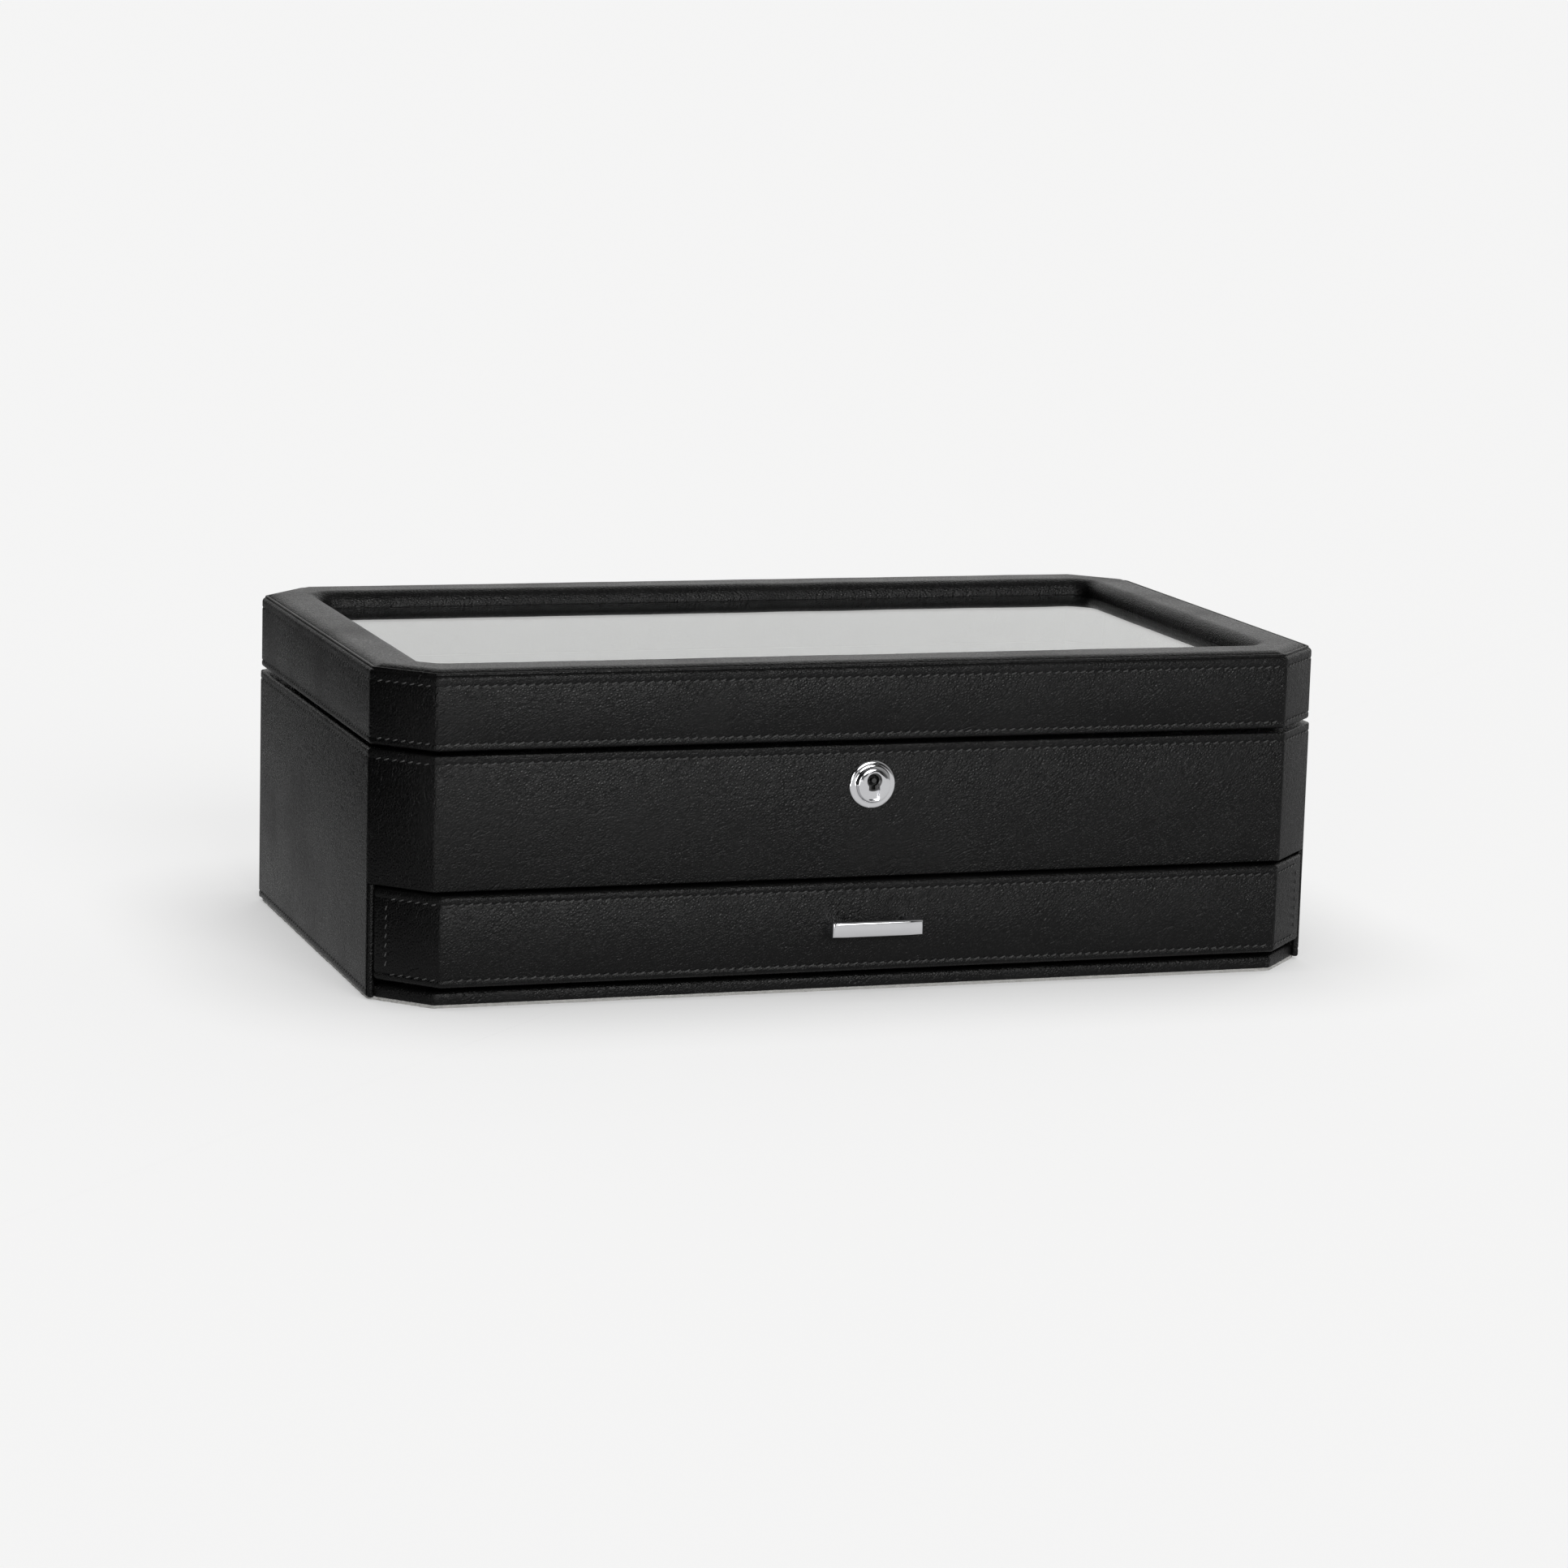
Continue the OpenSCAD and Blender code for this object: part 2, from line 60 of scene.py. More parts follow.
HALF_W = case_side[1].x
HALF_D = case_back[1].y
RIM = case_front[1].z
CHAMFER_X = 18 * MM
CHAMFER_Y = 19 * MM
WALL = 11.2 * MM
LID_INSET = HALF_W - lid_band_box[1].x
LID_LOW = lid_band_box[0].z
LID_TOP = lid_edge_box[1].z
GLASS_TOP = glass_box[1].z
PAD_TOP = pad_box[1].z
WINDOW_X = (glass_box[1].x - glass_box[0].x) / 2 - 3.3 * MM
WINDOW_Y = (glass_box[1].y - glass_box[0].y) / 2 - 3.3 * MM
WINDOW_R = 5.5 * MM
CASE_LOW = case_back[0].z
FRONT_LOW = case_front[0].z

STITCH_PITCH = 3.1 * MM
STITCH_LENGTH = 2.35 * MM
THREAD_THICK = 0.62 * MM
THREAD_PROUD = 0.02 * MM
CASE_TOP_ROW = RIM - 2.9 * MM
CASE_LOW_ROW = CASE_LOW + 2.6 * MM
LID_TOP_ROW = LID_TOP - 4.3 * MM
LID_LOW_ROW = LID_LOW + 2.4 * MM

CORNER_EASE = 0.9 * MM
DIVIDER = 3 * MM
CROSS_DIVIDERS = 4

chamfer_run = math.hypot(CHAMFER_X, CHAMFER_Y)
CHAMFER_NORMAL = Vector((CHAMFER_Y, CHAMFER_X, 0)) / chamfer_run
CHAMFER_REACH = CHAMFER_NORMAL.x * (HALF_W - CHAMFER_X) + CHAMFER_NORMAL.y * HALF_D


class Plan:
    """Octagonal outline of the box, with its sides, front, back and chamfers moved in."""

    def __init__(self, side=0, front=None, back=None, chamfer_front=None, chamfer_back=None):
        self.side = side
        self.front = side if front is None else front
        self.back = side if back is None else back
        self.cf = side if chamfer_front is None else chamfer_front
        self.cb = side if chamfer_back is None else chamfer_back

    def planes(self):
        """Each side as its outward normal and its distance from the middle."""
        n = CHAMFER_NORMAL
        return [
            (Vector((0, -1, 0)), HALF_D - self.front),
            (Vector((n.x, -n.y, 0)), CHAMFER_REACH - self.cf),
            (Vector((1, 0, 0)), HALF_W - self.side),
            (Vector((n.x, n.y, 0)), CHAMFER_REACH - self.cb),
            (Vector((0, 1, 0)), HALF_D - self.back),
            (Vector((-n.x, n.y, 0)), CHAMFER_REACH - self.cb),
            (Vector((-1, 0, 0)), HALF_W - self.side),
            (Vector((-n.x, -n.y, 0)), CHAMFER_REACH - self.cf),
        ]

    def depth(self, p):
        """How far inside the outline a point lies."""
        return min(reach - normal.dot(Vector((p[0], p[1], 0))) for normal, reach in self.planes())

    def inward(self, p):
        """Direction away from the nearest side."""
        flat = Vector((p[0], p[1], 0))
        return -min(self.planes(), key=lambda side: side[1] - side[0].dot(flat))[0]

    def corners(self):
        """The eight corners, from the front right one round to the front left one."""
        sides = self.planes()
        found = []
        for i in range(8):
            (a, ra), (b, rb) = sides[i], sides[(i + 1) % 8]
            det = a.x * b.y - a.y * b.x
            found.append(Vector(((ra * b.y - rb * a.y) / det, (a.x * rb - b.x * ra) / det, 0)))
        return found


# ------------------------------------------------------------------ bench tools


def choose(piece):
    """Makes one piece the only one selected, in object mode."""
    if bpy.context.object and bpy.context.object.mode != "OBJECT":
        bpy.ops.object.mode_set(mode="OBJECT")
    bpy.ops.object.select_all(action="DESELECT")
    piece.select_set(True)
    bpy.context.view_layer.objects.active = piece


def settle(piece):
    """Puts the piece's place into its mesh."""
    choose(piece)
    bpy.ops.object.transform_apply(location=True, rotation=True, scale=True)


def edit(piece, faces=None, edges=None, points=None):
    """Opens a piece for editing with the chosen faces, edges or points selected, or all of it."""
    choose(piece)
    mesh = piece.data
    for kind in (mesh.vertices, mesh.edges, mesh.polygons):
        kind.foreach_set("select", [False] * len(kind))
    modes = (points is not None, edges is not None, faces is not None)
    co = mesh.vertices
    if faces is not None:
        for f in mesh.polygons:
            f.select = bool(faces(f.center, f.normal))
    if edges is not None:
        for e in mesh.edges:
            e.select = bool(edges(co[e.vertices[0]].co, co[e.vertices[1]].co))
    if points is not None:
        for v in mesh.vertices:
            v.select = bool(points(v.co))
    bpy.context.tool_settings.mesh_select_mode = modes if any(modes) else (True, False, False)
    bpy.ops.object.mode_set(mode="EDIT")
    if not any(modes):
        bpy.ops.mesh.select_all(action="SELECT")


def done(piece):
    """Closes the piece that was open for editing."""
    bpy.ops.object.mode_set(mode="OBJECT")
    return piece


def tidy(piece):
    """Merges points that lie together and turns every face outwards."""
    edit(piece)
    bpy.ops.mesh.remove_doubles(threshold=1e-6)
    bpy.ops.mesh.normals_make_consistent(inside=False)
    return done(piece)


def soften(piece, width, segments, where):
    """Rounds the edges whose two ends pass the test."""
    edit(piece, edges=where)
    bpy.ops.mesh.bevel(offset=width, offset_type="OFFSET", segments=segments, profile=0.5,
                       affect="EDGES", clamp_overlap=True)
    return done(piece)


def slice_off(piece, point, normal, keep_both=False):
    """Cuts along a plane and takes away the side that the normal looks to, or keeps both."""
    edit(piece)
    bpy.ops.mesh.bisect(plane_co=point, plane_no=normal, clear_outer=not keep_both,
                        use_fill=False, threshold=1e-7)
    return done(piece)


def move_points(piece, rule):
    """Moves every point by the vector that the rule gives for it."""
    for v in piece.data.vertices:
        v.co += rule(v.co)
    piece.data.update()
    return piece


def smooth(piece, angle=35):
    """Shades smoothly across every edge that is flatter than the angle."""
    choose(piece)
    bpy.ops.object.shade_smooth_by_angle(angle=math.radians(angle))
    return piece


def add_modifier(piece, kind, **settings):
    """Adds one modifier and applies it."""
    choose(piece)
    modifier = piece.modifiers.new(kind.title(), kind)
    for key, value in settings.items():
        setattr(modifier, key, value)
    bpy.ops.object.modifier_apply(modifier=modifier.name)
    return piece


def join(name, parts):
    """Joins pieces into one, which takes the name."""
    choose(parts[0])
    for part in parts:
        part.select_set(True)
    bpy.ops.object.join()
    parts[0].name = name
    return parts[0]


def copy_of(piece, name, shift):
    """Copies a piece, with its own mesh, to a place shifted from the first."""
    choose(piece)
    bpy.ops.object.duplicate()
    twin = bpy.context.object
    twin.name = name
    twin.location = shift
    settle(twin)
    return twin


def block(name, low, high):
    """A box between two corners, the start of a piece."""
    bpy.ops.object.select_all(action="DESELECT")
    middle = (Vector(low) + Vector(high)) / 2
    bpy.ops.mesh.primitive_cube_add(size=1, location=middle)
    piece = bpy.context.object
    piece.name = name
    piece.scale = Vector(high) - Vector(low)
    settle(piece)
    return piece


def wrapped_board(name, low, high):
    """An upright board wrapped in lining cloth, with its top edges rounded."""
    piece = block(name, low, high)
    near_top = high[2] - MM
    soften(piece, 1.2 * MM, 4, lambda a, b: a.z > near_top and b.z > near_top)
    return smooth(piece)


def sheet_of(name, plan, height, corner, segments=4):
    """A flat sheet cut to an octagonal plan, with its corners eased."""
    bpy.ops.object.select_all(action="DESELECT")
    y_low, y_high = plan.front - HALF_D, HALF_D - plan.back
    x_high = HALF_W - plan.side
    bpy.ops.mesh.primitive_plane_add(size=1, location=(0, (y_low + y_high) / 2, height))
    piece = bpy.context.object
    piece.name = name
    piece.scale = (2 * x_high, y_high - y_low, 1)
    settle(piece)
    for normal, reach in plan.planes():
        if abs(normal.x) > 0.1 and abs(normal.y) > 0.1:
            slice_off(piece, normal * reach, normal)
    edit(piece)
    bpy.ops.mesh.bevel(offset=corner, segments=segments, affect="VERTICES")
    return done(piece)


def wall_of(name, plan, thickness, low, high, trims=()):
    """A wall that follows the plan: an upright covering of one thickness, trimmed by planes.

    The first inset passes the eased corners, whose points then merge, so that the second one
    doesn't cross itself.
    """
    piece = sheet_of(name, plan, low, CORNER_EASE)
    first = min(thickness, 2.3 * CORNER_EASE)
    edit(piece)
    bpy.ops.mesh.inset(thickness=first, depth=0)
    done(piece)
    if thickness > first:
        edit(piece, points=lambda p: plan.depth(p) > first * 0.7)
        bpy.ops.mesh.remove_doubles(threshold=0.22 * CORNER_EASE)
        bpy.ops.mesh.inset(thickness=thickness - first, depth=0)
        done(piece)
    edit(piece, faces=lambda c, n: plan.depth(c) > thickness)
    bpy.ops.mesh.delete(type="FACE")
    done(piece)
    for point, normal in trims:
        slice_off(piece, point, normal)
    edit(piece)
    bpy.ops.mesh.extrude_region_move(TRANSFORM_OT_translate={"value": (0, 0, high - low)})
    done(piece)
    return tidy(piece)


def outer_edge_at(plan, height):
    """Test for edges on the outer face of a wall at one height."""
    reach = 0.3 * MM

    def test(a, b):
        level = abs(a.z - height) < 1e-6 and abs(b.z - height) < 1e-6
        return level and plan.depth(a) < reach and plan.depth(b) < reach
    return test


def press_line(piece, plan, height):
    """The shallow trough that a row of stitches pulls into the leather."""
    width, depth = 0.55 * MM, 0.22 * MM
    for z in (height - width, height, height + width):
        slice_off(piece, (0, 0, z), (0, 0, 1), keep_both=True)

    def rule(p):
        if abs(p.z - height) < 1e-6 and plan.depth(p) < 2 * MM:
            return plan.inward(p) * depth
        return Vector((0, 0, 0))
    return move_points(piece, rule)


# ------------------------------------------------------------------ material bench


class Sock:
    """A node socket that takes part in arithmetic."""

    def __init__(self, material, socket):
        self.material = material
        self.socket = socket

    def _math(self, operation, *others):
        node = self.material.tree.nodes.new("ShaderNodeMath")
        node.operation = operation
        for i, value in enumerate((self, *others)):
            self.material.feed(node.inputs[i], value)
        return Sock(self.material, node.outputs[0])

    def __add__(self, other):
        return self._math("ADD", other)

    def __sub__(self, other):
        return self._math("SUBTRACT", other)

    def __mul__(self, other):
        return self._math("MULTIPLY", other)

    def __radd__(self, other):
        return self + other

    def __rmul__(self, other):
        return self * other

    def __rsub__(self, other):
        return (self * -1.0) + other

    def sin(self):
        return self._math("SINE")

    def step(self, low, high):
        """0 below low, 1 above high, smooth between."""
        return self.material.node("ShaderNodeMapRange", {0: self, 1: low, 2: high},
                                  interpolation_type="SMOOTHSTEP")


class Finish:
    """One material, built from nodes by expressions."""

    def __init__(self, name, world=None):
        if world is None:
            self.data = bpy.data.materials.new(name)
        else:
            self.data = world
        self.data.use_nodes = True
        self.tree = self.data.node_tree
        self.tree.nodes.clear()
        kind = "ShaderNodeOutputMaterial" if world is None else "ShaderNodeOutputWorld"
        self.output = self.tree.nodes.new(kind)

    def feed(self, socket, value):
        if isinstance(value, Sock):
            self.tree.links.new(value.socket, socket)
        else:
            socket.default_value = value

    def node(self, kind, inputs=None, output=0, **settings):
        """Adds any node with its settings and inputs, and gives back one of its outputs."""
        made = self.tree.nodes.new(kind)
        for key, value in settings.items():
            setattr(made, key, value)
        for key, value in (inputs or {}).items():
            self.feed(made.inputs[key], value)
        return Sock(self, made.outputs[output])

    def place(self):
        return self.node("ShaderNodeTexCoord", output="Object")

    def parts(self, vector):
        made = self.tree.nodes.new("ShaderNodeSeparateXYZ")
        self.feed(made.inputs[0], vector)
        return [Sock(self, s) for s in made.outputs]

    def drawn(self, vector, stretch, turn=(0, 0, 0)):
        """Coordinates for a pattern that is drawn out along its own turned axes."""
        return self.node("ShaderNodeMapping", {"Vector": vector, "Rotation": turn,
                                               "Scale": stretch}, vector_type="TEXTURE")

    def noise(self, vector, scale, detail=2.0, rough=0.5, distortion=0.0):
        return self.node("ShaderNodeTexNoise", {"Vector": vector, "Scale": scale, "Detail": detail,
                                                "Roughness": rough, "Distortion": distortion})

    def cells(self, vector, scale, feature="F1"):
        return self.node("ShaderNodeTexVoronoi", {"Vector": vector, "Scale": scale},
                         feature=feature)

    def shifted(self, vector, amount, scale, detail=2.0):
        """The coordinates pushed about by a soft noise, so that a pattern wanders."""
        wander = self.node("ShaderNodeTexNoise", {"Vector": vector, "Scale": scale,
                                                  "Detail": detail}, output="Color")
        centred = self.node("ShaderNodeVectorMath", {0: wander, 1: (0.5, 0.5, 0.5)},
                            operation="SUBTRACT")
        scaled = self.node("ShaderNodeVectorMath", {0: centred, "Scale": amount},
                           operation="SCALE")
        return self.node("ShaderNodeVectorMath", {0: vector, 1: scaled}, operation="ADD")

    def blend(self, factor, a, b):
        """Mixes two colours."""
        made = self.tree.nodes.new("ShaderNodeMix")
        made.data_type = "RGBA"
        self.feed(made.inputs["Factor"], factor)
        for socket, value in ((made.inputs[6], a), (made.inputs[7], b)):
            self.feed(socket, value if isinstance(value, Sock) else (*value, 1))
        return Sock(self, made.outputs[2])

    def relief(self, height, distance):
        return self.node("ShaderNodeBump", {"Strength": 1.0, "Distance": distance,
                                            "Height": height})

    def surface(self, **inputs):
        shader = self.tree.nodes.new("ShaderNodeBsdfPrincipled")
        for key, value in inputs.items():
            name = key.replace("_", " ")
            if isinstance(value, tuple) and len(value) == 3:
                value = (*value, 1)
            self.feed(shader.inputs[name], value)
        self.tree.links.new(shader.outputs[0], self.output.inputs["Surface"])
        return self.data


def leather(name, tone=0.002, turn=-38, crease=1.0, gloss=0.25):
    """Black embossed leather cloth: slanting fine pebbles crossed by a few longer creases."""
    m = Finish(name)
    place = m.place()
    wide = m.shifted(place, 0.010, 24, 1)
    lean = m.drawn(wide, (1.5, 1.15, 1), turn=(0, math.radians(turn), 0))
    bent = m.shifted(lean, 0.0003, 900, 1)
    dome = 1 - m.cells(bent, 1480, "SMOOTH_F1")
    pore = 1 - m.cells(bent, 1480, "DISTANCE_TO_EDGE").step(0.0, 0.25)
    long_way = m.drawn(lean, (1.8, 1.1, 1))
    line = 1 - m.cells(m.shifted(long_way, 0.0005, 500, 1), 430,
                       "DISTANCE_TO_EDGE").step(0.0, 0.12)
    broken = m.noise(place, 200, 2).step(0.42, 0.66)
    patch = m.noise(place, 22, 2)
    height = dome * 0.8 - pore * 0.35 * (0.6 + patch * 0.8) - line * broken * 0.7 * crease
    wear = patch.step(0.45, 0.75)
    # Base colour: pebble crests painted lighter, a painted highlight on their tops, mixed with
    # random patches of real wear that are lighter too.
    base = m.blend(dome * 0.7 + wear * 0.3, (tone * 0.5, tone * 0.5, tone * 0.55),
                   (tone * 1.8, tone * 1.8, tone * 1.8))
    rough = gloss + 0.16 * pore + 0.06 * wear
    return m.surface(Base_Color=base, Roughness=rough, Specular_IOR_Level=0.17,
                     Normal=m.relief(height, 0.15 * MM))


def suede(name, colour, scale=900):
    """Short-napped lining cloth, brushed unevenly."""
    m = Finish(name)
    place = m.place()
    nap = m.noise(m.drawn(place, (1, 2.2, 1)), scale, 4, 0.7)
    brushed = m.noise(m.shifted(place, 0.01, 25), 38, 3, 0.55)
    factor = nap * 0.45 + brushed.step(0.35, 0.68) * 0.5
    low = tuple(c * 0.62 for c in colour)
    high = tuple(min(1, c * 1.55 + 0.004) for c in colour)
    return m.surface(Base_Color=m.blend(factor, low, high), Roughness=0.93,
                     Sheen_Weight=0.45, Sheen_Roughness=0.4, Specular_IOR_Level=0.2,
                     Normal=m.relief(nap + brushed * 0.4, 0.22 * MM))


def metal(name, colour, rough, brushed=False):
    """Plated metal with faint polishing marks and finger smudges."""
    m = Finish(name)
    place = m.place()
    smudge = m.noise(place, 160, 3, 0.6)
    grain = (26, 1, 1) if brushed else (4, 1, 1)
    marks = m.noise(m.drawn(place, grain), 1500, 2)
    tone = m.blend(smudge, tuple(c * 0.93 for c in colour), colour)
    roughness = rough + smudge.step(0.45, 0.75) * rough * 0.6 + marks * rough * 0.4
    return m.surface(Base_Color=tone, Metallic=1.0, Roughness=roughness,
                     Normal=m.relief(marks + smudge * 0.5, 0.004 * MM * (4 if brushed else 1)))


def fibreboard(name, colour, paint=0.0):
    """Pressed fibreboard: short fibres lying every way, with darker specks."""
    m = Finish(name)
    place = m.place()
    fibre = m.noise(m.drawn(m.shifted(place, 0.003, 90), (1, 3, 0.6)), 900, 4, 0.65)
    speck = m.cells(place, 700).step(0.0, 0.25)
    broad = m.noise(place, 30, 2)
    factor = fibre * 0.7 + broad * 0.3
    dark = tuple(c * 0.6 for c in colour)
    base = m.blend(factor * (0.35 + speck * 0.65), dark, colour)
    return m.surface(Base_Color=base, Roughness=0.78 - paint * 0.3 + fibre * 0.1,
                     Normal=m.relief(fibre + speck * 0.3, 0.12 * MM))


def felt(name):
    """Grey needle felt, with stray fibres standing out."""
    m = Finish(name)
    place = m.place()
    tangle = m.noise(m.shifted(place, 0.002, 500), 1400, 5, 0.75, 1.2)
    clump = m.noise(place, 260, 3)
    base = m.blend(tangle * 0.6 + clump * 0.4, (0.16, 0.16, 0.155), (0.62, 0.61, 0.59))
    return m.surface(Base_Color=base, Roughness=1.0, Sheen_Weight=0.3,
                     Normal=m.relief(tangle + clump, 0.5 * MM))


def thread(name):
    """Waxed black thread, two plies twisted together."""
    m = Finish(name)
    place = m.place()
    x, y, z = m.parts(place)
    ply = ((x + y * 0.6 + z * 1.7) * 9000).sin()
    tone = m.blend(m.noise(place, 300, 2), (0.02, 0.02, 0.02), (0.07, 0.07, 0.07))
    return m.surface(Base_Color=tone, Roughness=0.42, Specular_IOR_Level=0.5,
                     Normal=m.relief(ply, 0.05 * MM))


def glass(name):
    """Clear float glass, faintly green in its thickness, wiped clean."""
    m = Finish(name)
    wipe = m.noise(m.drawn(m.place(), (1, 6, 1)), 40, 3)
    return m.surface(Base_Color=(0.93, 0.965, 0.95), Roughness=wipe.step(0.6, 0.9) * 0.004,
                     Transmission_Weight=1.0, IOR=1.52)


# ------------------------------------------------------------------ the finishes

BAND_LEATHER = leather("black_leather_lid_band")
CASE_LEATHER = leather("black_leather_case")
DRAWER_LEATHER = leather("black_leather_drawer", turn=-46)
PAD_LEATHER = leather("black_leather_pad", turn=-10, crease=0.3, gloss=0.27)
LINING = suede("charcoal_lining", (0.022, 0.022, 0.024))
CUSHION_CLOTH = suede("grey_cushion_velour", (0.075, 0.075, 0.08), 1300)
CHROME = metal("polished_chrome", (0.82, 0.82, 0.84), 0.07)
# Near-black steel for the lock plug: painted shade, so that the keyhole reads dark.
KEYHOLE_SHADE_STEEL = metal("steel_darkened_as_keyhole_shade", (0.09, 0.09, 0.09), 0.18)
STEEL = metal("nickel_plated_steel", (0.62, 0.6, 0.57), 0.24, brushed=True)
BOARD = fibreboard("raw_fibreboard", (0.42, 0.3, 0.19))
DARK_BOARD = fibreboard("black_stained_board", (0.02, 0.019, 0.018), paint=1.0)
FELT = felt("grey_underside_felt")
THREAD = thread("black_lock_stitch_thread")
PANE = glass("clear_float_glass")


def finish_node(material, *nodes):
    """Gives CAD nodes that keep their shape a full material."""
    for name in nodes:
        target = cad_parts[name]
        target.data.materials.clear()
        target.data.materials.append(material)


def hand_over(piece, material, body, slot, *nodes):
    """Finishes a piece: its material, its body and the CAD nodes it stands for. slot is not used.
    """
    piece.data.materials.clear()
    piece.data.materials.append(material)
    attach(piece, body)
    if nodes:
        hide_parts(*nodes)
    return piece


# ------------------------------------------------------------------ stitching


def one_stitch(name):
    """One lock stitch: a short thread that dips into the leather at both ends, lying along X."""
    length, thick = STITCH_LENGTH, THREAD_THICK
    bpy.ops.object.select_all(action="DESELECT")
    bpy.ops.mesh.primitive_cylinder_add(vertices=6, radius=thick / 2, depth=length,
                                        rotation=(0, math.pi / 2, 0))
    stitch = bpy.context.object
    stitch.name = name
    settle(stitch)
    for x in (-0.3 * length, 0, 0.3 * length):
        slice_off(stitch, (x, 0, 0), (1, 0, 0), keep_both=True)

    def dip(p):
        t = abs(p.x) / (length / 2)
        return Vector((0, thick * 0.9 * t ** 3, 0.32 * p.x)) - Vector((0, p.y, p.z)) * 0.45 * t ** 2
    return smooth(move_points(stitch, dip), 70)


def stitch_run(name, start, end, outward, slant=1):
    """A straight run of stitches between two points, on a face that looks outward."""
    along = (end - start).normalized()
    count = max(1, int((end - start).length / STITCH_PITCH))
    spare = (end - start).length - count * STITCH_PITCH
    stitch = one_stitch(name)
    if slant < 0:
        move_points(stitch, lambda p: Vector((0, 0, -0.64 * p.x)))
    up = along.cross(outward) * -1
    stitch.matrix_world = Matrix((along, -outward, up)).transposed().to_4x4()
    settle(stitch)
    stitch.location = start + along * (STITCH_PITCH + spare) / 2
    settle(stitch)
    return add_modifier(stitch, "ARRAY", count=count, use_relative_offset=False,
                        use_constant_offset=True, constant_offset_displace=along * STITCH_PITCH)


def stitch_round(name, plan, height, sides, ends=None):
    """Stitches along the listed sides of a plan (0 is the front, counted anticlockwise).

    ends gives, for a side, how much shorter its row is at its start and at its end.
    """
    short = 1.3 * MM
    corners = plan.corners()
    runs = []
    for i in sides:
        a, b = corners[i - 1], corners[i]
        outward = plan.planes()[i][0]
        along = (b - a).normalized()
        a, b = a + along * short, b - along * short
        if ends and i in ends:
            cut_a, cut_b = ends[i]
            a, b = a + along * cut_a, b - along * cut_b
        lift = Vector((0, 0, height)) + outward * THREAD_PROUD
        runs.append(stitch_run(f"{name}_{i}", a + lift, b + lift, outward))
    return join(name, runs)


# ------------------------------------------------------------------ the lid


def make_lid_band():
    """Leather band round the lid, turned under at the bottom and over at the top."""
    plan = Plan(LID_INSET)
    top = LID_TOP - 0.7 * MM
    thickness = WALL - LID_INSET - 0.1 * MM
    band = wall_of("lid_band", plan, thickness, LID_LOW, top)
    soften(band, 1.5 * MM, 4, outer_edge_at(plan, top))
    soften(band, 1.1 * MM, 4, outer_edge_at(plan, LID_LOW))
    press_line(band, plan, LID_TOP_ROW)
    press_line(band, plan, LID_LOW_ROW)
    smooth(band)
    hand_over(band, BAND_LEATHER, "lid", "black_leather", "lid_leather_band")
    for name, height in (("lid_upper_stitching", LID_TOP_ROW),
                         ("lid_lower_stitching", LID_LOW_ROW)):
        hand_over(stitch_round(name, plan, height, range(8)), THREAD, "lid", "black_leather")


def make_lid_bead():
    """Thin rolled bead that closes the top edge of the band."""
    plan = Plan(1.25 * MM)
    thick, near = 1.1 * MM, 0.3 * MM
    bead = wall_of("lid_bead", plan, thick, LID_TOP - 1.6 * MM, LID_TOP - 0.1 * MM)

    def top_rim(a, b):
        level = abs(a.z - b.z) < 1e-6 and a.z > LID_TOP - 0.2 * MM
        on_face = min(abs(plan.depth(a)), abs(plan.depth(a) - thick)) < near
        return level and on_face and abs(plan.depth(a) - plan.depth(b)) < near
    soften(bead, 0.42 * MM, 3, top_rim)
    smooth(bead, 60)
    hand_over(bead, PAD_LEATHER, "lid", "black_leather", "lid_binding")


def make_lid_pad():
    """Padded leather ring round the window: one domed piece from the bead to the glass."""
    plan = Plan(2.3 * MM)
    outer = sheet_of("lid_pad", plan, PAD_TOP, 1.5 * MM, 3)
    bpy.ops.object.select_all(action="DESELECT")
    bpy.ops.mesh.primitive_plane_add(size=1, location=(0, 0, PAD_TOP))
    window = bpy.context.object
    window.scale = (2 * WINDOW_X, 2 * WINDOW_Y, 1)
    settle(window)
    edit(window)
    bpy.ops.mesh.bevel(offset=WINDOW_R, segments=7, affect="VERTICES")
    done(window)
    pad = join("lid_pad", [outer, window])
    edit(pad)
    bpy.ops.mesh.delete(type="ONLY_FACE")
    bpy.ops.mesh.select_all(action="SELECT")
    bpy.ops.mesh.bridge_edge_loops(number_cuts=26, interpolation="LINEAR")
    done(pad)
    edit(pad, edges=lambda a, b: (a - b).length > 60 * MM)
    bpy.ops.mesh.subdivide(number_cuts=60)
    done(pad)

    def from_window(p):
        x = max(abs(p.x) - WINDOW_X + WINDOW_R, 0)
        y = max(abs(p.y) - WINDOW_Y + WINDOW_R, 0)
        return max(math.hypot(x, y) - WINDOW_R, 0) if x or y else 0

    drop = PAD_TOP - GLASS_TOP - 0.1 * MM
    shoulder = PAD_TOP - LID_TOP + 1.3 * MM

    def quarter(t):
        t = min(max(t, 0), 1)
        return 1 - math.sqrt(1 - (1 - t) ** 2)

    def crown(p):
        rim = quarter(plan.depth(p) / (4.2 * MM)) * shoulder
        roll = quarter(from_window(p) / (5.5 * MM)) * drop
        soft = noise.noise(p * 42) * 0.16 * MM + noise.noise(p * 130) * 0.05 * MM
        edge = min(plan.depth(p), from_window(p)) / (6 * MM)
        return Vector((0, 0, -max(rim, roll) - 0.25 * MM + soft * min(edge, 1)))
    move_points(pad, crown)
    edit(pad)
    bpy.ops.mesh.select_mode(type="EDGE")
    bpy.ops.mesh.region_to_loop()
    bpy.ops.mesh.extrude_edges_move(TRANSFORM_OT_translate={"value": (0, 0, -0.6 * MM)})
    bpy.ops.mesh.bridge_edge_loops()
    done(pad)
    tidy(pad)
    smooth(pad, 70)
    hand_over(pad, PAD_LEATHER, "lid", "black_leather", "lid_top_pad")


# ------------------------------------------------------------------ the case


